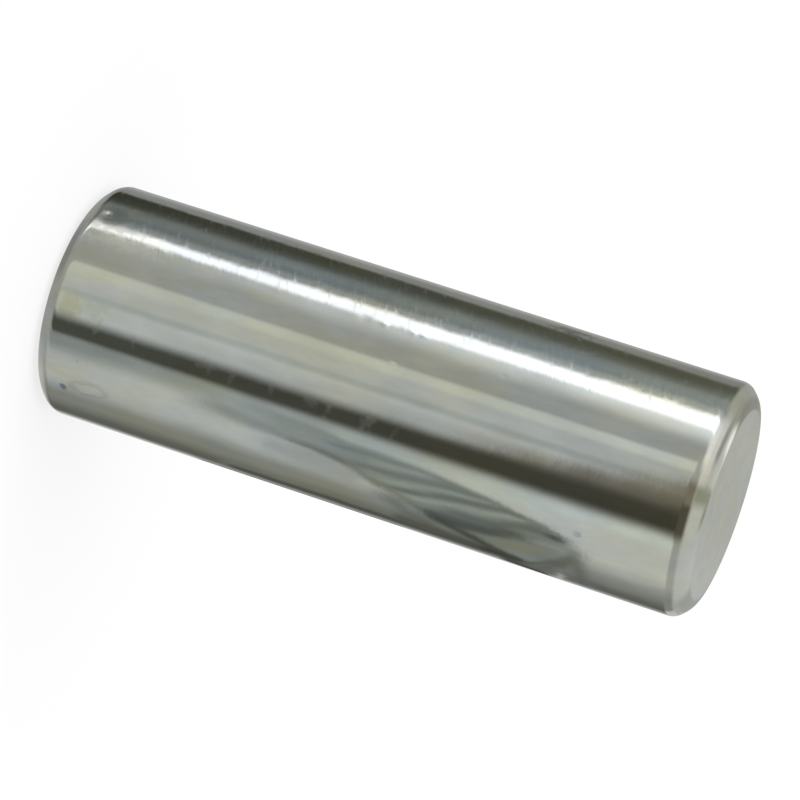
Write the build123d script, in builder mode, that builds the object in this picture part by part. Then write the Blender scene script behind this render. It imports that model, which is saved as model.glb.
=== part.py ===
# Door hinge pin: one turned steel pin with a plain round wall and a bevel at each end.
# It stands on its lower end: +Z runs along the pin, and the origin is the lower end's centre.
import os

from build123d import *

# Driving dimensions, in millimetres
pin_diameter = 12.0
pin_length = 34.6
bevel_width = 0.7  # how far the bevel eats into the end face
bevel_height = 0.7  # how far the bevel runs along the wall
wall_edge_radius = 0.75  # rounding where the bevel leaves the wall
face_edge_radius = 1.2  # rounding where the bevel meets the end face

# Derived dimensions
pin_radius = pin_diameter / 2
face_radius = pin_radius - bevel_width
upper_bevel_start = pin_length - bevel_height

# The half section is drawn as a lathe operator sees it, from the centre line outwards,
# and one turn about the centre line makes the pin.
with BuildPart() as hinge_pin:
    with BuildSketch(Plane.XZ) as half_section:
        with BuildLine() as outline:
            Polyline(
                (0, 0),
                (face_radius, 0),
                (pin_radius, bevel_height),
                (pin_radius, upper_bevel_start),
                (face_radius, pin_length),
                (0, pin_length),
                close=True,
            )
        make_face()
        corners = half_section.vertices().group_by(Axis.X)
        fillet(corners[-1], radius=wall_edge_radius)
        face_corners = half_section.vertices().filter_by_position(
            Axis.X, face_radius, face_radius
        )
        fillet(face_corners, radius=face_edge_radius)
    revolve(axis=Axis.Z)

hinge_pin.part.label = "hinge_pin"

os.makedirs("parts", exist_ok=True)
export_step(hinge_pin.part, "parts/hinge_pin.step")
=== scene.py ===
import math
from collections import namedtuple

import bpy
import numpy as np
from mathutils import Matrix, Vector


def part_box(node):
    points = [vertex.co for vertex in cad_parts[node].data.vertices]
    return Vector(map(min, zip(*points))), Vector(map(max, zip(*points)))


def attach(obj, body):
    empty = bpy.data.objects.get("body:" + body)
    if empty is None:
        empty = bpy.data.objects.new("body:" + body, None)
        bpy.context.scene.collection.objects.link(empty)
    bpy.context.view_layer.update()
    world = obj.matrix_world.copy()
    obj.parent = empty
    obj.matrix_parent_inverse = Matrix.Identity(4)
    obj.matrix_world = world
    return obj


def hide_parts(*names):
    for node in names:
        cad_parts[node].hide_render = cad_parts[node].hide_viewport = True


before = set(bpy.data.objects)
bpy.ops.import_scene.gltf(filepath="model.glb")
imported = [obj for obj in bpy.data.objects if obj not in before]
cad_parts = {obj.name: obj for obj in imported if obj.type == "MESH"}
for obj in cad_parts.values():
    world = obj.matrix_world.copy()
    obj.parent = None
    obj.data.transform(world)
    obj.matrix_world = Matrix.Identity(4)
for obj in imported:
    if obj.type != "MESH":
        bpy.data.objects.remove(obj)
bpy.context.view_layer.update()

low_corner, high_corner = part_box("hinge_pin")

# Sizes of the pin, in metres: the envelope is the frame's, and the edges are as turned
MM = 0.001
pin_radius = high_corner.x
pin_length = high_corner.z - low_corner.z
bevel_width = 0.7 * MM
bevel_height = 0.7 * MM
wall_edge_radius = 0.75 * MM
face_edge_radius = 1.2 * MM

# How finely the pin's mesh is divided
SEGMENTS = 384
WALL_RINGS = 200
ROUNDING_STEPS = 8
FACE_RING_SHARES = (0.985, 0.9, 0.7, 0.5, 0.3, 0.12)

# Camera, as fitted to the pin's outline in the picture: it shows the pin's upper end at the right,
# 18 degrees below the level
PICTURE_SIDE = 800
FOCAL_PIXELS = 4300.6
PIN_CENTRE_PIXEL = (397.66, 398.07)
CAMERA_RISE = math.radians(13.970)
CAMERA_ROLL = math.radians(90 + 18.027)
CAMERA_DEPTH = 35.570 * pin_radius
SENSOR_WIDTH = 36.0
NEAREST_SEEN = 0.01


def add_object(name, data):
    added = bpy.data.objects.new(name, data)
    bpy.context.scene.collection.objects.link(added)
    return added


def make_camera():
    """Makes the picture's camera and returns its place."""
    data = bpy.data.cameras.new("photo_camera")
    data.sensor_width = SENSOR_WIDTH
    data.lens = FOCAL_PIXELS * SENSOR_WIDTH / PICTURE_SIDE
    data.clip_start = NEAREST_SEEN
    ahead = Vector((0, math.cos(CAMERA_RISE), -math.sin(CAMERA_RISE)))
    level = Vector((1, 0, 0))
    upward = level.cross(ahead)
    right = level * math.cos(CAMERA_ROLL) + upward * math.sin(CAMERA_ROLL)
    up = right.cross(ahead)
    metres_per_pixel = CAMERA_DEPTH / FOCAL_PIXELS
    aside = (PIN_CENTRE_PIXEL[0] - PICTURE_SIDE / 2) * metres_per_pixel
    below = (PIN_CENTRE_PIXEL[1] - PICTURE_SIDE / 2) * metres_per_pixel
    pin_centre = Vector((0, 0, pin_length / 2))
    place = pin_centre - ahead * CAMERA_DEPTH - right * aside + up * below
    turn = Matrix((right, up, -ahead)).transposed().to_4x4()
    camera = add_object("photo_camera", data)
    camera.matrix_world = Matrix.Translation(place) @ turn
    bpy.context.scene.camera = camera
    return place


# Node trees
class Nodes:
    """Short calls that add shader nodes to one tree.

    An input is a number, a colour or another node's socket.
    """

    def __init__(self, tree):
        self.tree = tree
        tree.nodes.clear()

    def add(self, kind, inputs=None, **settings):
        node = self.tree.nodes.new(kind)
        for name, value in settings.items():
            setattr(node, name, value)
        for name, value in (inputs or {}).items():
            self.feed(node.inputs[name], value)
        return node

    def feed(self, socket, value):
        if isinstance(value, bpy.types.NodeSocket):
            self.tree.links.new(value, socket)
        else:
            socket.default_value = value

    def math(self, operation, first, second=0.0, third=0.0, clamp=False):
        values = {0: first, 1: second, 2: third}
        return self.add("ShaderNodeMath", values, operation=operation, use_clamp=clamp).outputs[0]

    def vector_math(self, operation, inputs, output="Vector"):
        return self.add("ShaderNodeVectorMath", inputs, operation=operation).outputs[output]

    def map_range(self, value, ends, **settings):
        """The value spread from one run to another. Ends that aren't named are 0 and 1."""
        node = self.add("ShaderNodeMapRange", {"Value": value, **ends}, **settings)
        return node.outputs["Result"]

    def between(self, share, first, second):
        """The number share of the way from first to second."""
        if first == second:
            return first
        return self.map_range(share, {"To Min": first, "To Max": second})

    def ramp(self, value, start, end):
        """0 up to start and 1 from end on, with a smooth rise between them."""
        ends = {"From Min": start, "From Max": end}
        return self.map_range(value, ends, interpolation_type="SMOOTHSTEP")

    def step(self, value, centre, softness):
        """0 below centre, 1 above it, with a smooth change softness wide on either side."""
        if isinstance(centre, bpy.types.NodeSocket):
            return self.ramp(self.math("SUBTRACT", value, centre), -softness, softness)
        return self.ramp(value, centre - softness, centre + softness)

    def invert(self, value):
        return self.math("SUBTRACT", 1.0, value)

    def mix(self, factor, first, second, **settings):
        # a Mix node has sockets for each type of data, and 6, 7 and 2 are those for colours
        values = {0: factor, 6: first, 7: second}
        return self.add("ShaderNodeMix", values, data_type="RGBA", **settings).outputs[2]

    def tint(self, factor, colour, by):
        return self.mix(factor, colour, by, blend_type="MULTIPLY")

    def vector(self, x, y, z):
        return self.add("ShaderNodeCombineXYZ", {0: x, 1: y, 2: z}).outputs[0]

    def grey(self, bright):
        return self.vector(bright, bright, bright)

    def separate(self, vector):
        return self.add("ShaderNodeSeparateXYZ", {0: vector}).outputs

    def turn_round_pin(self, x, y):
        """The angle of a place or direction round the pin, from -Y towards -X."""
        return self.math("ARCTAN2", self.math("MULTIPLY", x, -1.0), self.math("MULTIPLY", y, -1.0))

    def in_degrees(self, angle):
        return self.math("MULTIPLY", angle, math.degrees(1))

    def along_points(self, value, points):
        """The height of a line of straight runs through points, at value."""
        height = points[0][1]
        for (start, first), (end, second) in zip(points, points[1:]):
            ends = {"From Min": start, "From Max": end, "To Max": second - first}
            height = self.math("ADD", height, self.map_range(value, ends))
        return height

    def distance_to_run(self, place, start, end):
        """How far place is from the straight run between two points of one plane."""
        start, end = Vector((*start, 0)), Vector((*end, 0))
        run = end - start
        offset = self.vector_math("SUBTRACT", {0: place, 1: start})
        ahead = self.vector_math("DOT_PRODUCT", {0: offset, 1: run}, "Value")
        share = self.math("DIVIDE", ahead, run.length_squared, clamp=True)
        nearest = self.vector_math("SCALE", {0: run, "Scale": share})
        return self.vector_math("DISTANCE", {0: offset, 1: nearest}, "Value")

    def noise(self, place, scale, detail=2.0, roughness=0.5, output="Fac"):
        inputs = {"Vector": place, "Scale": scale, "Detail": detail, "Roughness": roughness}
        return self.add("ShaderNodeTexNoise", inputs).outputs[output]


def new_material(name):
    material = bpy.data.materials.new(name)
    material.use_nodes = True
    return material, Nodes(material.node_tree)


def tinted(bright, tint):
    return tuple(bright * part for part in tint) + (1,)


# Studio: what the polished wall mirrors. The wall mirrors each upright strip in a line along the
# pin, so a strip's place is given as that line's angle round the pin, in degrees, where 0 faces
# the camera and more is towards the picture's top. Each edge has two places and two softnesses,
# for the lower end of the pin and for the upper, and so has the brightness. A later strip covers
# an earlier one.
Strip = namedtuple("Strip", "low high low_soft high_soft bright tint")

PLAIN = (1.0, 1.0, 1.0)
BLUE = (0.90, 1.01, 1.08)
COOL = (0.96, 1.01, 1.01)
WARM = (1.03, 1.0, 0.93)
SALLOW = (1.0, 1.005, 0.945)
ROSY = (1.06, 1.0, 0.97)
BROWN = (1.12, 1.0, 0.82)
OLIVE = (1.02, 1.04, 0.84)
DULL_OLIVE = (1.01, 1.02, 0.91)
KEY_WHITE = (1.0, 0.985, 1.06)

# a strip's edge this far out is past the outline, so the strip is open on that side
OUTER_LINE = 95
STRIPS = {
    "table": Strip((-95, -95), (-20.8, -21.3), (1, 1), (1.3, 2.8), (0.50, 0.58), PLAIN),
    "table_shade": Strip((-29.0, -30), (-20.8, -21.3), (5, 4), (1.3, 2.8), (0.27, 0.67), COOL),
    "table_end": Strip((-95, -95), (-50, -53), (1, 1), (7, 8), (0.25, 0.29), SALLOW),
    "table_edge": Strip((-95, -95), (-65, -66), (1, 1), (7, 8), (0.125, 0.125), DULL_OLIVE),
    "lower_rim": Strip((-95, -95), (-79.0, -79.4), (1, 1), (4.5, 4.5), (0.57, 0.40), PLAIN),
    "rim_wall": Strip((67.4, 68.3), (95, 95), (2.4, 3.2), (1, 1), (0.27, 0.25), PLAIN),
    "rim_glow": Strip((76.5, 77.5), (95, 95), (5, 5), (1, 1), (0.42, 0.40), PLAIN),
    "upper_flag": Strip((52.2, 51), (67.4, 68.3), (5, 6), (1.8, 2.8), (0.045, 0.105), OLIVE),
    "blue_panel": Strip((41, 43.8), (53, 54), (2, 3), (9, 9), (0.16, 0.30), BLUE),
    "key_halo": Strip((36, 36), (43.5, 44.3), (1, 1), (2.6, 3.0), (0.28, 0.50), PLAIN),
    "key_glow": Strip((28.5, 26.5), (36, 38), (5, 5.5), (2, 2), (0.46, 0.90), PLAIN),
    "key_strip": Strip((34.3, 31.8), (39.1, 40.4), (1.5, 1.5), (1.6, 1.8), (1.35, 1.50), KEY_WHITE),
    "light_wall": Strip((-18.6, -18.6), (14.5, 14.2), (1, 1), (1.2, 1.2), (0.525, 0.46), PLAIN),
    "light_wall_top": Strip((9.6, 9.6), (14.5, 14.2), (1.5, 1.5), (1.2, 1.2), (0.56, 0.61), SALLOW),
    "pale_line": Strip((-18.6, -18.6), (-1.4, -1.4), (1, 1), (1.0, 1.0), (0.56, 0.52), PLAIN),
    "thin_seam": Strip((-0.8, -0.4), (2.0, 2.4), (1.0, 1.0), (1.0, 1.0), (0.46, 0.38), COOL),
    "brown_veil": Strip((-18.6, -18.6), (-37, 5.8), (1, 1), (3, 4.0), (0.21, 0.195), BROWN),
    "brown_shade": Strip((-18.6, -18.6), (-23, -6.4), (1, 1), (3, 5.0), (0.09, 0.09), BROWN),
    "black_slot": Strip(
        (-20.9, -21.2), (-11.6, -10.1), (1.6, 4.3), (3.4, 3.2), (0.070, 0.030), OLIVE
    ),
}
# the studio's grey where no strip lies
PANEL_GREY = 0.37
# a mirror swings the sight by twice its own turn, and a little more from as near as the camera
SWING_PER_TURN = 2.02

# The bevels and roundings of the ends mirror more of the studio, above the strips and below them.
# A glint's place is given as the line and the tilt of the rounding that mirrors it, in degrees.
# The tilt is 0 on the wall, 90 on the upper face and -90 on the lower one.
Glint = namedtuple("Glint", "lines tilts line_soft tilt_soft bright tint")

# a glint whose lines or tilts end this far out is open there
OUTER_TURN = 180
OUTER_TILT = 99
UPPER_GLINTS = {
    "edge_shade": Glint((-64, 18), (7, 99), 5, 6, 0.385, PLAIN),
    "lower_dark": Glint((-74, -57), (4, 99), 5, 6, 0.27, PLAIN),
    "rim_run": Glint((-180, -75), (4, 99), 3, 5, 0.57, PLAIN),
    "slot_run": Glint((-23, -3.5), (0, 99), 4, 6, 0.078, BROWN),
    "seam_run": Glint((-5, 5.5), (4, 99), 3, 5, 0.185, BROWN),
    "ceiling": Glint((-180, 180), (36, 99), 1, 10, 0.55, PLAIN),
    "lower_side": Glint((-180, -65), (40, 84), 8, 8, 0.39, PLAIN),
    "brown_side": Glint((47, 180), (24, 84), 8, 9, 0.38, WARM),
    "brown_side_high": Glint((50, 96), (54, 84), 8, 7, 0.30, WARM),
    "seam_echo": Glint((-5, 5.5), (36, 97), 4, 9, 0.30, DULL_OLIVE),
    "slot_echo": Glint((-18, -3), (70, 97), 6, 9, 0.30, DULL_OLIVE),
    "outer_streak_foot": Glint((5, 16), (32, 48), 3, 8, 0.62, ROSY),
    "outer_streak": Glint((14, 40), (22, 46), 6, 7, 0.84, ROSY),
    "dark_line": Glint((19, 62), (48, 60), 5, 4, 0.35, WARM),
    "inner_streak": Glint((7, 46), (62, 92), 4, 6, 0.60, WARM),
    "inner_streak_core": Glint((30, 49), (68, 93), 8, 6, 0.98, PLAIN),
    "far_wall": Glint((-180, 180), (87.4, 99), 1, 1.8, 0.455, SALLOW),
}
LOWER_GLINTS = {
    "bench": Glint((-180, 180), (-99, -15), 1, 8, 0.355, PLAIN),
    "bench_glow": Glint((-180, -36), (-99, -24), 14, 10, 0.48, PLAIN),
    "bench_shade": Glint((6, 36), (-99, -34), 8, 8, 0.25, PLAIN),
}


def sight_dip(height):
    """How steeply the picture's sight falls on the pin at a height, in degrees."""
    camera_height = CAMERA_DEPTH * math.sin(CAMERA_RISE) + pin_length / 2
    return math.degrees(math.atan2(camera_height - height, CAMERA_DEPTH * math.cos(CAMERA_RISE)))


def strip_edge(g, line, along, places, softness):
    start = g.between(along, places[0] - softness[0], places[1] - softness[1])
    end = g.between(along, places[0] + softness[0], places[1] + softness[1])
    return g.ramp(line, start, end)


def with_strips(g, colour, direction):
    """Adds the strips that the wall mirrors."""
    x, y, z = g.separate(direction)
    line = g.math("MULTIPLY", g.turn_round_pin(x, y), math.degrees(1) / SWING_PER_TURN)
    rise = g.in_degrees(g.math("ARCSINE", z))
    along = g.map_range(rise, {"From Min": -sight_dip(0), "From Max": -sight_dip(pin_length)})
    for strip in STRIPS.values():
        inside = None
        if strip.low[0] > -OUTER_LINE:
            inside = strip_edge(g, line, along, strip.low, strip.low_soft)
        if strip.high[0] < OUTER_LINE:
            below = g.invert(strip_edge(g, line, along, strip.high, strip.high_soft))
            inside = below if inside is None else g.math("MULTIPLY", inside, below)
        shade, upper_shade = (tinted(bright, strip.tint) for bright in strip.bright)
        if shade != upper_shade:
            shade = g.mix(along, shade, upper_shade)
        colour = g.mix(inside, colour, shade)
    return colour


def with_glints(g, colour, direction, glints, dip):
    """Adds the glints that one end mirrors, where the sight falls on it by dip."""
    sight = (0, math.cos(math.radians(dip)), -math.sin(math.radians(dip)))
    halfway = g.vector_math("SUBTRACT", {0: direction, 1: sight})
    x, y, z = g.separate(g.vector_math("NORMALIZE", {0: halfway}))
    line = g.in_degrees(g.turn_round_pin(x, y))
    tilt = g.in_degrees(g.math("ARCSINE", z))
    for glint in glints.values():
        inside = 1.0
        for value, ends, soft, outer in (
            (line, glint.lines, glint.line_soft, OUTER_TURN),
            (tilt, glint.tilts, glint.tilt_soft, OUTER_TILT),
        ):
            if ends[0] > -outer:
                inside = g.math("MULTIPLY", g.step(value, ends[0], soft), inside)
            if ends[1] < outer:
                inside = g.math("MULTIPLY", g.invert(g.step(value, ends[1], soft)), inside)
        colour = g.mix(inside, colour, tinted(glint.bright, glint.tint))
    return colour


# what the studio gives to matt surfaces, where white is 1
AMBIENT = 0.85


def make_world():
    world = bpy.data.worlds.new("studio")
    bpy.context.scene.world = world
    world.use_nodes = True
    # nothing in the studio is small and bright, so rays sent by the surfaces find it well enough
    world.cycles.sampling_method = "NONE"
    g = Nodes(world.node_tree)
    direction = g.add("ShaderNodeTexCoord").outputs["Generated"]
    path = g.add("ShaderNodeLightPath").outputs
    studio = with_strips(g, tinted(PANEL_GREY, PLAIN), direction)
    studio = with_glints(g, studio, direction, UPPER_GLINTS, sight_dip(pin_length))
    studio = with_glints(g, studio, direction, LOWER_GLINTS, sight_dip(0))
    mirrored = g.mix(path["Is Glossy Ray"], tinted(1.0, PLAIN), studio)
    seen = g.math("MAXIMUM", path["Is Camera Ray"], path["Is Glossy Ray"])
    seen = g.math("MAXIMUM", seen, path["Is Transmission Ray"])
    colour = g.mix(seen, tinted(AMBIENT, PLAIN), mirrored)
    background = g.add("ShaderNodeBackground", {"Color": colour, "Strength": 1.0})
    g.add("ShaderNodeOutputWorld", {"Surface": background.outputs[0]})


# Floor and lamp
FLOOR_SIZE = 3.0
FLOOR_GREY = 0.9
# how much of the floor that the camera sees is plain white, and not the light that falls on it
FLOOR_OWN_WHITE = 0.75
LAMP_STRENGTH = 1.2
LAMP_SPREAD = math.radians(50)
LAMP_TURN = (math.radians(25), math.radians(-20), 0)


def make_floor():
    mesh = bpy.data.meshes.new("floor")
    half = FLOOR_SIZE / 2
    corners = [(-half, -half, 0), (half, -half, 0), (half, half, 0), (-half, half, 0)]
    mesh.from_pydata(corners, [], [(0, 1, 2, 3)])
    floor = add_object("floor", mesh)
    material, g = new_material("pale_floor")
    plain = g.add("ShaderNodeBsdfDiffuse", {"Color": tinted(FLOOR_GREY, PLAIN)})
    white = g.add("ShaderNodeEmission", {"Color": tinted(1.0, PLAIN), "Strength": 1.0})
    path = g.add("ShaderNodeLightPath").outputs
    share = g.math("MULTIPLY", path["Is Camera Ray"], FLOOR_OWN_WHITE)
    surface = g.add("ShaderNodeMixShader", {0: share, 1: plain.outputs[0], 2: white.outputs[0]})
    g.add("ShaderNodeOutputMaterial", {"Surface": surface.outputs[0]})
    mesh.materials.append(material)
    # the studio's strips reach below the floor's level, so the mirror looks past the floor
    floor.visible_glossy = False


def make_lamp():
    data = bpy.data.lights.new("soft_lamp", "SUN")
    data.energy = LAMP_STRENGTH
    data.angle = LAMP_SPREAD
    lamp = add_object("soft_lamp", data)
    lamp.rotation_euler = LAMP_TURN
    lamp.visible_glossy = False


# Backdrop: a curved sheet round the side and the back of the studio, which the wall mirrors on the
# picture's lower side as a leaf of slanting stripes. A place on it is given as the wall shows it,
# by the share of the pin's length and the angle round the pin, as the strips are. Widths are in
# millimetres on the wall. A later stroke covers an earlier one.
Stroke = namedtuple("Stroke", "points width soft bright tint")

BACKDROP_REACH = 120 * MM
BACKDROP_SHARES = (0.22, 0.90)
BACKDROP_LINES = (-22.0, -89.0)
BACKDROP_STEPS = 60
# where the sheet's parts meet, each with its own paint, because one paint can't hold every stroke
BACKDROP_SEAMS = (0.53, 0.69)

LEAF = (0.93, 1.01, 1.01)
# the leaf's edges, as shares and angles, and its brightness by share
LEAF_TOP = (
    (0.25, -23),
    (0.42, -25),
    (0.50, -27),
    (0.60, -28.3),
    (0.70, -31.7),
    (0.75, -35.3),
    (0.835, -42),
)
LEAF_FOOT = (
    (0.25, -36),
    (0.42, -38),
    (0.50, -41.5),
    (0.55, -46.5),
    (0.60, -52.5),
    (0.65, -59.5),
    (0.74, -73),
    (0.76, -73),
    (0.80, -57),
    (0.835, -44.5),
)
LEAF_BRIGHT = ((0.30, 0.34), (0.40, 0.31), (0.50, 0.295), (0.65, 0.25), (0.80, 0.24))
LEAF_EDGE_SOFT = 1.6
# where along the pin the leaf fades in and where it ends, each with its softness
LEAF_START = (0.34, 0.09)
LEAF_TIP = (0.838, 0.006)
# cloudiness of the leaf: waves in a millimetre, and the least and most of its brightness
CLOUD_SCALE = 0.9
CLOUD_SHADES = (0.85, 1.15)
# how far the edges sway, in millimetres on the wall, and the waves in a millimetre
SWAY = 0.22
SWAY_SCALE = 1.1
PAINT_DETAIL = 3.0

STROKES = {
    "lead_in": Stroke(((0.27, -31), (0.34, -33), (0.42, -34.5)), 0.40, 0.38, 0.31, COOL),
    "lead_in_foot": Stroke(((0.375, -43), (0.44, -43), (0.50, -46.5)), 0.45, 0.42, 0.38, PLAIN),
    "foot_shade": Stroke(((0.56, -53), (0.585, -59), (0.62, -63)), 0.48, 0.46, 0.185, DULL_OLIVE),
    "foot_shade_low": Stroke(
        ((0.575, -67), (0.62, -67.5), (0.69, -70)), 0.55, 0.52, 0.115, DULL_OLIVE
    ),
    "low_shade": Stroke(
        ((0.31, -74), (0.45, -73), (0.58, -73), (0.70, -73)), 0.44, 0.44, 0.080, DULL_OLIVE
    ),
    "rim_shade": Stroke(((0.26, -83), (0.40, -83.8), (0.56, -84.5)), 0.36, 0.34, 0.20, DULL_OLIVE),
    "corner_shade": Stroke(((0.708, -70.3), (0.745, -71.8)), 0.42, 0.34, 0.050, OLIVE),
    "tip_shade": Stroke(((0.785, -74), (0.805, -64), (0.836, -52)), 0.40, 0.32, 0.135, DULL_OLIVE),
    "beige_fan": Stroke(((0.842, -49), (0.848, -60), (0.852, -75)), 0.40, 0.40, 0.130, WARM),
    "olive_patch": Stroke(((0.735, -60), (0.76, -57), (0.785, -51)), 0.42, 0.25, 0.225, DULL_OLIVE),
    "pale_stripe_top": Stroke(
        ((0.54, -33.5), (0.58, -32.4), (0.61, -31.6)), 0.10, 0.10, 0.34, LEAF
    ),
    "pale_stripe_high": Stroke(
        ((0.55, -42), (0.60, -39), (0.65, -36.4), (0.70, -35)), 0.13, 0.12, 0.345, LEAF
    ),
    "pale_stripe_middle": Stroke(
        ((0.59, -47), (0.65, -44), (0.72, -40), (0.75, -38.6)), 0.15, 0.13, 0.35, LEAF
    ),
    "pale_stripe_tip": Stroke(((0.765, -49), (0.79, -48.5), (0.81, -48)), 0.16, 0.14, 0.30, LEAF),
    "top_edge": Stroke(
        ((0.62, -30.2), (0.70, -33.2), (0.80, -39.2), (0.832, -41.3)), 0.10, 0.10, 0.17, LEAF
    ),
    "dark_stripe_top": Stroke(((0.46, -31), (0.52, -30.6), (0.58, -29.8)), 0.11, 0.12, 0.235, LEAF),
    "dark_stripe_high": Stroke(
        ((0.515, -37.6), (0.58, -36.3), (0.63, -34.2), (0.69, -33)), 0.14, 0.14, 0.205, LEAF
    ),
    "dark_stripe_middle": Stroke(
        ((0.56, -45), (0.65, -40.2), (0.72, -36.2), (0.76, -36.5)), 0.14, 0.13, 0.165, LEAF
    ),
    "dark_heart": Stroke(((0.63, -54), (0.67, -53), (0.73, -50.5)), 0.46, 0.30, 0.125, LEAF),
    "dark_stripe_wide": Stroke(
        ((0.66, -49), (0.71, -47), (0.75, -43), (0.79, -39)), 0.24, 0.20, 0.15, LEAF
    ),
    "dark_stripe_low": Stroke(((0.63, -57), (0.70, -53.5), (0.76, -48.5)), 0.26, 0.20, 0.105, LEAF),
    "dark_tip": Stroke(((0.795, -42.5), (0.820, -43)), 0.17, 0.12, 0.06, LEAF),
    "foot_edge_left": Stroke(
        ((0.41, -36.3), (0.46, -37.6), (0.50, -39.8), (0.54, -45), (0.58, -50), (0.62, -55)),
        0.17,
        0.19,
        0.165,
        DULL_OLIVE,
    ),
    "foot_edge_right": Stroke(
        ((0.62, -55), (0.67, -61), (0.713, -66), (0.75, -71.5)), 0.33, 0.29, 0.07, OLIVE
    ),
    "closing_edge": Stroke(
        ((0.838, -48), (0.815, -56.5), (0.793, -62.5), (0.765, -71)), 0.12, 0.11, 0.085, OLIVE
    ),
    "rim_shade_high": Stroke(((0.735, -78), (0.788, -81)), 0.38, 0.34, 0.045, DULL_OLIVE),
    # a painted bright wedge, which the wall mirrors at its lower outline so that it looks like a
    # notch
    "bright_wedge_tail": Stroke(((0.817, -66), (0.815, -75)), 0.15, 0.17, 0.25, PLAIN),
    "bright_wedge": Stroke(((0.818, -73), (0.811, -82), (0.807, -88)), 0.24, 0.26, 0.44, PLAIN),
}


def mirrored_place(line, share, camera_place):
    """Where the camera's sight goes on to, off the wall, as far as the backdrop stands."""
    angle = math.radians(line)
    outward = Vector((-math.sin(angle), -math.cos(angle), 0))
    place = outward * pin_radius + Vector((0, 0, share * pin_length))
    sight = (place - camera_place).normalized()
    return place + (sight - 2 * sight.dot(outward) * outward) * BACKDROP_REACH


def crosses(stroke, first_share, last_share):
    """Whether a stroke touches a run of the pin's length."""
    shares = [share for share, line in stroke.points]
    one_step = (BACKDROP_SHARES[1] - BACKDROP_SHARES[0]) / (BACKDROP_STEPS - 1)
    margin = (stroke.width + stroke.soft + SWAY) * MM / pin_length + one_step
    return min(shares) - margin < last_share and max(shares) + margin > first_share


def leaf_cover(g, share, line):
    """1 on the leaf and 0 off it."""
    top = g.along_points(share, LEAF_TOP)
    foot = g.along_points(share, LEAF_FOOT)
    above_foot = g.step(line, foot, LEAF_EDGE_SOFT)
    cover = g.math("MULTIPLY", above_foot, g.invert(g.step(line, top, LEAF_EDGE_SOFT)))
    cover = g.math("MULTIPLY", cover, g.step(share, *LEAF_START))
    return g.math("MULTIPLY", cover, g.invert(g.step(share, *LEAF_TIP)))


def backdrop_paint(first_share, last_share):
    """The paint of the sheet's part between two shares of the pin's length."""
    material, g = new_material("backdrop_paint")
    share = g.add("ShaderNodeAttribute", attribute_name="wall_share").outputs["Fac"]
    line = g.add("ShaderNodeAttribute", attribute_name="wall_line").outputs["Fac"]
    length_in_mm = pin_length / MM
    degree_in_mm = math.radians(1) * pin_radius / MM
    along = g.math("MULTIPLY", share, length_in_mm)
    flat = g.vector(along, g.math("MULTIPLY", line, degree_in_mm), 0.0)
    sway = g.noise(flat, SWAY_SCALE, PAINT_DETAIL, output="Color")
    sway = g.vector_math("SUBTRACT", {0: sway, 1: (0.5, 0.5, 0.5)})
    sway = g.vector_math("SCALE", {0: sway, "Scale": SWAY})
    swayed = g.vector_math("ADD", {0: flat, 1: sway})
    swayed_line = g.math("DIVIDE", g.separate(swayed)["Y"], degree_in_mm)
    cover = leaf_cover(g, share, swayed_line)
    cloud = g.between(g.noise(flat, CLOUD_SCALE, PAINT_DETAIL), *CLOUD_SHADES)
    bright = g.math("MULTIPLY", g.along_points(share, LEAF_BRIGHT), cloud)
    colour = g.tint(1.0, g.grey(bright), tinted(1.0, LEAF))
    for stroke in STROKES.values():
        if not crosses(stroke, first_share, last_share):
            continue
        places = [(s * length_in_mm, angle * degree_in_mm) for s, angle in stroke.points]
        gap = g.distance_to_run(swayed, places[0], places[1])
        for start, end in zip(places[1:], places[2:]):
            gap = g.math("MINIMUM", gap, g.distance_to_run(swayed, start, end))
        inside = g.invert(g.step(gap, stroke.width, stroke.soft))
        colour = g.mix(inside, colour, tinted(stroke.bright, stroke.tint))
        cover = g.math("MAXIMUM", cover, inside)
    # the sheet glows with this paint, a painted reflection of stripes and shades that only the
    # pin's wall shows
    paint = g.add("ShaderNodeEmission", {"Color": colour, "Strength": 1.0})
    clear = g.add("ShaderNodeBsdfTransparent")
    surface = g.add("ShaderNodeMixShader", {0: cover, 1: clear.outputs[0], 2: paint.outputs[0]})
    g.add("ShaderNodeOutputMaterial", {"Surface": surface.outputs[0]})
    return material


def make_backdrop(camera_place):
    shares = np.linspace(*BACKDROP_SHARES, BACKDROP_STEPS)
    lines = np.linspace(*BACKDROP_LINES, BACKDROP_STEPS)
    points = [mirrored_place(line, share, camera_place) for line in lines for share in shares]
    faces = []
    for row in range(BACKDROP_STEPS - 1):
        for column in range(BACKDROP_STEPS - 1):
            corner = row * BACKDROP_STEPS + column
            above = corner + BACKDROP_STEPS
            faces.append((corner, corner + 1, above + 1, above))
    mesh = bpy.data.meshes.new("backdrop")
    mesh.from_pydata(points, [], faces)
    for name, values in (
        ("wall_line", np.repeat(lines, BACKDROP_STEPS)),
        ("wall_share", np.tile(shares, BACKDROP_STEPS)),
    ):
        mesh.attributes.new(name, "FLOAT", "POINT").data.foreach_set("value", values.tolist())
    part_ends = (BACKDROP_SHARES[0], *BACKDROP_SEAMS, BACKDROP_SHARES[1])
    for first_share, last_share in zip(part_ends, part_ends[1:]):
        mesh.materials.append(backdrop_paint(first_share, last_share))
    part_of_column = [sum(share >= seam for seam in BACKDROP_SEAMS) for share in shares[:-1]]
    mesh.polygons.foreach_set("material_index", part_of_column * (BACKDROP_STEPS - 1))
    backdrop = add_object("backdrop", mesh)
    # only the pin's reflections show it
    backdrop.visible_camera = False
    backdrop.visible_diffuse = False
    backdrop.visible_transmission = False
    backdrop.visible_shadow = False


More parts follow.
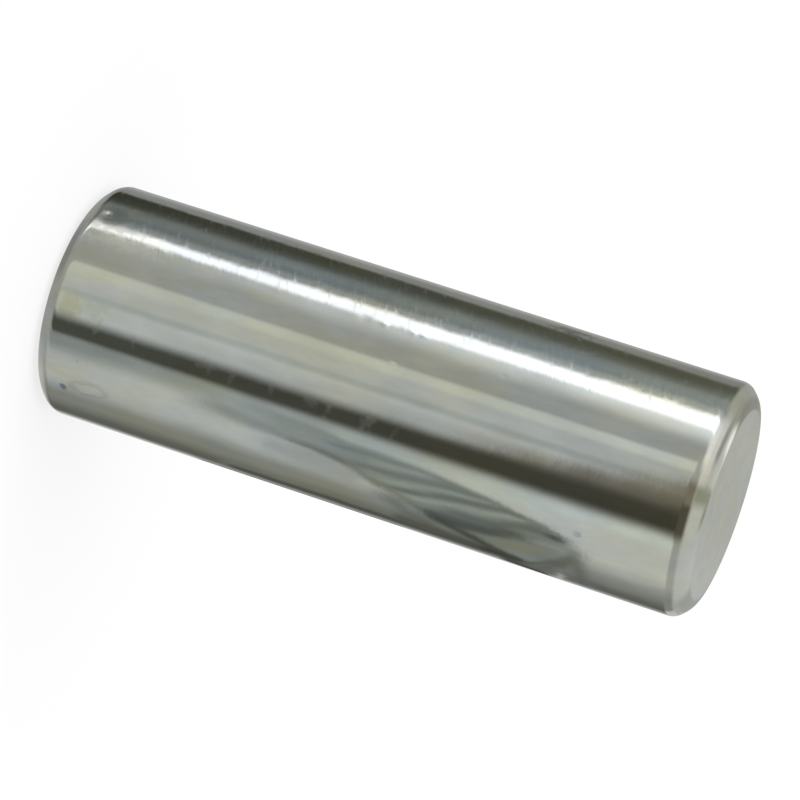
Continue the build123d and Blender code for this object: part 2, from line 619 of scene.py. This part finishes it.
# The pin's shape
def arc(centre_radius, centre_height, radius, start, end):
    """Points of the half section on a rounded edge, each with its outward normal's tilt."""
    points = []
    for number in range(ROUNDING_STEPS + 1):
        tilt = start + (end - start) * number / ROUNDING_STEPS
        angle = math.radians(tilt)
        place = (centre_radius + radius * math.cos(angle), centre_height + radius * math.sin(angle))
        points.append((place, tilt))
    return points


def upper_half_section():
    """Radius and height, from the middle of the wall over the bevel to near the face's centre."""
    half = pin_length / 2
    bevel_tilt = math.degrees(math.atan2(bevel_width, bevel_height))
    wall_turn = math.radians(bevel_tilt / 2)
    face_turn = math.radians((90 - bevel_tilt) / 2)
    wall_top = half - bevel_height - wall_edge_radius * math.tan(wall_turn)
    face_radius = pin_radius - bevel_width - face_edge_radius * math.tan(face_turn)
    section = []
    for number in range(WALL_RINGS // 2):
        section.append(((pin_radius, wall_top * number / (WALL_RINGS // 2)), 0.0))
    section += arc(pin_radius - wall_edge_radius, wall_top, wall_edge_radius, 0, bevel_tilt)
    section += arc(face_radius, half - face_edge_radius, face_edge_radius, bevel_tilt, 90)
    for share in FACE_RING_SHARES:
        section.append(((face_radius * share, half), 90.0))
    return section


# Small nicks in the wall, and grains under the plating, whose depth is below 0 because they stand
# out of it: where round the pin in degrees, the share of the length, how far each reaches from its
# middle, and how deep it is there
Nick = namedtuple("Nick", "line share reach depth")

NICKS = {
    "corner_nick": Nick(45.5, 0.047, 1.00 * MM, 0.024 * MM),
    "corner_nick_heart": Nick(44.5, 0.041, 0.42 * MM, 0.028 * MM),
    "corner_nick_side": Nick(50.0, 0.075, 0.60 * MM, 0.007 * MM),
    "grain_on_seam": Nick(16.2, 0.520, 0.27 * MM, -0.006 * MM),
    "grain_by_key": Nick(32.0, 0.487, 0.30 * MM, -0.007 * MM),
    "grain_by_key_second": Nick(32.3, 0.530, 0.27 * MM, -0.005 * MM),
    "grain_by_key_third": Nick(32.4, 0.546, 0.27 * MM, -0.005 * MM),
    "speck_under_key": Nick(25.5, 0.674, 0.24 * MM, 0.003 * MM),
    "speck_over_key": Nick(45.5, 0.843, 0.32 * MM, 0.005 * MM),
    "chip_under_key": Nick(32.8, 0.130, 0.50 * MM, 0.002 * MM),
    "chip_under_key_end": Nick(33.2, 0.155, 0.40 * MM, 0.002 * MM),
    "chip_at_middle": Nick(32.6, 0.455, 0.50 * MM, 0.005 * MM),
    "pit_by_leaf": Nick(-36.0, 0.838, 0.26 * MM, 0.003 * MM),
}
# a nick's depth falls from its middle to its edge by this power of what is left
NICK_FALL = 3


def nicked(turns, height):
    """How deep the nicks are round the wall at one height, with the slopes round and along it."""
    depth = np.zeros(len(turns))
    slope_round = np.zeros(len(turns))
    slope_along = np.zeros(len(turns))
    for nick in NICKS.values():
        # a line's angle is counted from -Y towards -X
        middle = math.radians(-90 - nick.line)
        round_way = (np.mod(turns - middle + math.pi, 2 * math.pi) - math.pi) * pin_radius
        along_way = height - nick.share * pin_length
        left = np.clip(1 - (round_way**2 + along_way**2) / nick.reach**2, 0, None)
        depth += nick.depth * left**NICK_FALL
        steepness = 2 * NICK_FALL * nick.depth * left ** (NICK_FALL - 1) / nick.reach**2
        slope_round -= steepness * round_way
        slope_along -= steepness * along_way
    return depth, slope_round, slope_along


def ring_of_points(radius, height, tilt, turns):
    """One ring of the pin's mesh, as its points and their outward normals."""
    lean = math.radians(tilt)
    # the ends are plain, so only the wall has nicks
    plain = np.zeros((3, len(turns)))
    depth, slope_round, slope_along = nicked(turns, height) if tilt == 0 else plain
    points = [
        (radius - depth) * np.cos(turns),
        (radius - depth) * np.sin(turns),
        np.full(len(turns), height),
    ]
    normals = [
        math.cos(lean) * np.cos(turns) - slope_round * np.sin(turns),
        math.cos(lean) * np.sin(turns) + slope_round * np.cos(turns),
        math.sin(lean) + slope_along,
    ]
    normals = np.stack(normals, 1)
    return np.stack(points, 1), normals / np.linalg.norm(normals, axis=1, keepdims=True)


def pin_faces(ring_count):
    """The faces between the rings, and the fans that close the ends on the last two points."""
    lower_pole = ring_count * SEGMENTS
    upper_pole = lower_pole + 1
    last_ring = lower_pole - SEGMENTS
    pairs = [(turn, (turn + 1) % SEGMENTS) for turn in range(SEGMENTS)]
    faces = []
    for first in range(0, last_ring, SEGMENTS):
        second = first + SEGMENTS
        for turn, following in pairs:
            faces.append((first + turn, first + following, second + following, second + turn))
    for turn, following in pairs:
        faces.append((following, turn, lower_pole))
        faces.append((last_ring + turn, last_ring + following, upper_pole))
    return faces


def make_pin():
    upper = upper_half_section()
    lower = [((radius, -height), -tilt) for (radius, height), tilt in reversed(upper[1:])]
    section = lower + upper
    turns = np.arange(SEGMENTS) * 2 * math.pi / SEGMENTS
    rings = [
        ring_of_points(radius, height + pin_length / 2, tilt, turns)
        for (radius, height), tilt in section
    ]
    points = np.concatenate([ring[0] for ring in rings] + [[(0, 0, 0), (0, 0, pin_length)]])
    normals = np.concatenate([ring[1] for ring in rings] + [[(0, 0, -1), (0, 0, 1)]])
    mesh = bpy.data.meshes.new("polished_pin")
    mesh.from_pydata(points.tolist(), [], pin_faces(len(section)))
    mesh.polygons.foreach_set("use_smooth", [True] * len(mesh.polygons))
    mesh.normals_split_custom_set_from_vertices(normals.tolist())
    pin = add_object("polished_pin", mesh)
    mesh.materials.append(plated_steel())
    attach(pin, "root")
    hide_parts("hinge_pin")


# Bright zinc plating over ground steel. A noise's scale is its waves in a metre, and a pair of
# numbers is what its least and most give, or a step's middle and softness.
ZINC = (0.765, 0.785, 0.735, 1)
YELLOWISH = (1.015, 1.01, 0.90)
BLUISH = (0.96, 1.0, 1.03)
PATCH_STRETCH = (1.0, 1.0, 0.35)
# the detail and the roughness of the patches' noise
PATCH_NOISE = (4.0, 0.6)
CAST_SCALE = 420.0
CAST_STEP = (0.5, 0.14)
HAZE_SCALE = 900.0
HAZE_STEP = (0.5, 0.2)
HAZE_SHADES = (0.935, 1.055)

GRINDING_SLANT = math.radians(-22)
STREAK_SIZE = (1.2 * MM, 0.25 * MM, 1)
STREAK_DETAIL = 3.0
STREAKED_SIDE = (math.radians(33), math.radians(6))
STREAKED_RADIUS = (0.975 * pin_radius, 0.01 * pin_radius)
DULLED_STREAK = (0.645, 0.13)

ROUGH_SCALE = 520.0
WORN_ROUGH = (0.05, 0.08)
STREAKED_ROUGH = (0.06, 0.10)
DULLED_ROUGH = 0.26

# heights of the bump, in thousandths of a millimetre
PEEL_SCALE = 2400.0
PEEL_HEIGHTS = (0.7, 1.3)
GRAIN_SCALE = 6000.0
GRAIN_ROUGHNESS = 0.6
GRAIN_HEIGHTS = (0.2, 0.5)
WAVE_SCALE = 200.0
WAVE_DETAIL = 1.0
WAVE_HEIGHT = 20.0
STREAK_PATCH_SCALE = 480.0
STREAK_PATCH_STEP = (0.52, 0.1)
STREAK_HEIGHTS = (1.5, 8.0)
BUMP_UNIT = 0.001 * MM

# Marks on the plating: where round the pin in degrees, the share of the length, half sizes round
# and along the pin, a turn in degrees, what the colour is multiplied by, the roughness, and how
# uneven the edge is. Rough marks look pale in the dark bands and dull in the bright one.
Mark = namedtuple("Mark", "line share around along turn tint rough ragged")

MARKS = {
    "yellow_stain": Mark(-6.5, 0.044, 0.85 * MM, 0.75 * MM, 0, (0.97, 0.95, 0.80), 0.18, 0.4),
    "yellow_stain_end": Mark(-5.0, 0.080, 0.60 * MM, 1.00 * MM, 0, (1.00, 1.00, 0.92), 0.18, 0.4),
    "blue_spot": Mark(-49.5, 0.052, 0.20 * MM, 0.30 * MM, 50, (0.42, 0.45, 0.62), 0.25, 0.5),
    "blue_halo": Mark(-51.0, 0.038, 0.45 * MM, 0.50 * MM, 0, (0.93, 0.95, 1.08), 0.25, 0.6),
    "dot_by_lower_end": Mark(-32.0, 0.072, 0.13 * MM, 0.15 * MM, 0, (0.86, 0.87, 0.87), 0.18, 0.6),
    "dot_by_leaf": Mark(-36.0, 0.838, 0.20 * MM, 0.19 * MM, 0, (0.88, 0.89, 0.89), 0.16, 0.9),
    "rub_under_key": Mark(29.5, 0.080, 0.50 * MM, 2.3 * MM, -4, (1.02, 1.0, 1.0), 0.16, 0.7),
    "rub_near_far_side": Mark(73.0, 0.725, 0.65 * MM, 1.1 * MM, 0, (0.62, 0.62, 0.62), 0.25, 0.7),
    "shade_round_nick": Mark(48.5, 0.048, 0.42 * MM, 0.55 * MM, 0, (0.80, 0.84, 0.88), 0.14, 0.5),
    # the colour is darker here, over the lower end of the bright band, which dims that band
    "darker_patch_on_key_end": Mark(38.5, 0.060, 0.42 * MM, 1.9 * MM, 0, (0.74, 0.73, 0.73), 0.17, 0.4),
    "scuff_by_lower_end": Mark(-14.5, 0.092, 0.36 * MM, 0.15 * MM, 10, (1.0, 1.0, 1.0), 0.18, 0.7),
    "scuff_by_lower_end_second": Mark(
        -13.5, 0.150, 0.34 * MM, 0.15 * MM, 0, (1.0, 1.0, 1.0), 0.17, 0.7
    ),
    "scuff_in_slot_pale": Mark(-14.0, 0.262, 0.40 * MM, 0.42 * MM, 0, (1.0, 1.0, 1.0), 0.17, 0.9),
    "scuff_in_slot_pale_second": Mark(
        -14.2, 0.425, 0.38 * MM, 0.46 * MM, 0, (1.0, 1.0, 1.0), 0.17, 0.9
    ),
    "scuff_in_slot_left": Mark(-15.5, 0.302, 0.42 * MM, 0.18 * MM, 8, (1.0, 1.0, 1.0), 0.17, 0.7),
    "scuff_in_slot_second": Mark(
        -13.8, 0.362, 0.36 * MM, 0.17 * MM, -20, (1.0, 1.0, 1.0), 0.16, 0.7
    ),
    "scuff_in_slot_third": Mark(-16.0, 0.452, 0.42 * MM, 0.20 * MM, 4, (1.0, 1.0, 1.0), 0.185, 0.7),
    "scuff_in_slot_fourth": Mark(
        -15.0, 0.510, 0.46 * MM, 0.42 * MM, -34, (1.04, 1.0, 0.94), 0.195, 0.8
    ),
    "scuff_in_slot_fifth": Mark(-16.5, 0.553, 0.32 * MM, 0.16 * MM, 25, (1.0, 1.0, 1.0), 0.15, 0.7),
}
MARK_EDGE = (0.8, 0.45)
RAGGED_SCALE = 2500.0
RAGGED_DETAIL = 3.0
RAGGED_REACH = (-2.0, 2.0)

# A scratch that closes on itself, like the trace of a hair
LOOP = Mark(-46.5, 0.092, 0.40 * MM, 0.90 * MM, -8, (0.86, 0.85, 0.83), 0.20, 0.35)
LOOP_WIDTH = 0.2


def reach_in_mark(g, wall, unevenness, mark):
    """0 in a mark's middle and 1 on its edge, from a place on the unrolled wall, in metres."""
    middle = (math.radians(mark.line) * pin_radius, mark.share * pin_length, 0)
    placed = {
        "Vector": wall,
        "Location": middle,
        "Rotation": (0, 0, math.radians(mark.turn)),
        "Scale": (mark.around, mark.along, 1),
    }
    inside = g.add("ShaderNodeMapping", placed, vector_type="TEXTURE").outputs["Vector"]
    length = g.vector_math("LENGTH", {0: inside}, "Value")
    return g.math("MULTIPLY_ADD", unevenness, mark.ragged, length)


def with_marks(g, wall, colour, rough):
    """Adds the marks and the loop to the plating's colour and roughness."""
    unevenness = g.between(g.noise(wall, RAGGED_SCALE, RAGGED_DETAIL), *RAGGED_REACH)
    for mark in MARKS.values():
        inside = g.invert(g.step(reach_in_mark(g, wall, unevenness, mark), *MARK_EDGE))
        colour = g.tint(inside, colour, tinted(1.0, mark.tint))
        rough = g.between(inside, rough, mark.rough)
    off_loop = g.math("SUBTRACT", reach_in_mark(g, wall, unevenness, LOOP), 1.0)
    on_loop = g.invert(g.step(g.math("ABSOLUTE", off_loop), LOOP_WIDTH, LOOP_WIDTH))
    return g.tint(on_loop, colour, tinted(1.0, LOOP.tint)), rough


def plating_colour(g, place):
    """The cast drifts between yellowish and bluish in patches that lie along the pin."""
    lengthened = g.vector_math("MULTIPLY", {0: place, 1: PATCH_STRETCH})
    drift = g.step(g.noise(lengthened, CAST_SCALE, *PATCH_NOISE), *CAST_STEP)
    cast = g.mix(drift, tinted(1.0, YELLOWISH), tinted(1.0, BLUISH))
    haze = g.step(g.noise(lengthened, HAZE_SCALE, *PATCH_NOISE), *HAZE_STEP)
    return g.tint(1.0, g.tint(1.0, ZINC, cast), g.grey(g.between(haze, *HAZE_SHADES)))


def streaked_part(g, line, x, y):
    """1 on the wall's side where the grinding's streaks still show, and 0 off it."""
    side = g.step(line, *STREAKED_SIDE)
    radius = g.math("SQRT", g.math("ADD", g.math("MULTIPLY", x, x), g.math("MULTIPLY", y, y)))
    return g.math("MULTIPLY", side, g.step(radius, *STREAKED_RADIUS))


def plating_height(g, place, wall, streaks, streaked):
    """Orange peel, the fine grain under it, a slow waviness of the grinding, and its streaks."""
    peel = g.noise(place, PEEL_SCALE)
    grain = g.noise(place, GRAIN_SCALE, roughness=GRAIN_ROUGHNESS)
    wave = g.noise(place, WAVE_SCALE, WAVE_DETAIL)
    patchy = g.step(g.noise(wall, STREAK_PATCH_SCALE), *STREAK_PATCH_STEP)
    height = g.math("MULTIPLY", peel, g.between(streaked, *PEEL_HEIGHTS))
    for part, scale in (
        (grain, g.between(streaked, *GRAIN_HEIGHTS)),
        (wave, WAVE_HEIGHT),
        (g.math("MULTIPLY", streaks, streaked), g.between(patchy, *STREAK_HEIGHTS)),
    ):
        height = g.math("ADD", height, g.math("MULTIPLY", part, scale))
    return height


def plated_steel():
    material, g = new_material("plated_steel")
    place = g.add("ShaderNodeTexCoord").outputs["Object"]
    x, y, z = g.separate(place)
    line = g.turn_round_pin(x, y)
    wall = g.vector(g.math("MULTIPLY", line, pin_radius), z, 0.0)
    colour = plating_colour(g, place)
    # the grinding left short streaks across the pin, dulled where the side is worn least
    slanted = {"Vector": wall, "Rotation": (0, 0, GRINDING_SLANT), "Scale": STREAK_SIZE}
    slanted = g.add("ShaderNodeMapping", slanted, vector_type="TEXTURE").outputs["Vector"]
    streaks = g.noise(slanted, 1.0, STREAK_DETAIL)
    streaked = streaked_part(g, line, x, y)
    dulled = g.math("MULTIPLY", g.step(streaks, *DULLED_STREAK), streaked)
    clouds = g.noise(place, ROUGH_SCALE)
    worn_rough = g.between(clouds, *WORN_ROUGH)
    rough = g.between(streaked, worn_rough, g.between(clouds, *STREAKED_ROUGH))
    rough = g.between(dulled, rough, DULLED_ROUGH)
    colour, rough = with_marks(g, wall, colour, rough)
    height = plating_height(g, place, wall, streaks, streaked)
    bump = g.add("ShaderNodeBump", {"Strength": 1.0, "Distance": BUMP_UNIT, "Height": height})
    shader_inputs = {
        "Base Color": colour,
        "Metallic": 1.0,
        "Roughness": rough,
        "Normal": bump.outputs[0],
    }
    shader = g.add("ShaderNodeBsdfPrincipled", shader_inputs)
    g.add("ShaderNodeOutputMaterial", {"Surface": shader.outputs[0]})
    return material


bpy.context.scene.view_settings.view_transform = "Standard"
camera_place = make_camera()
make_world()
make_floor()
make_lamp()
make_backdrop(camera_place)
make_pin()
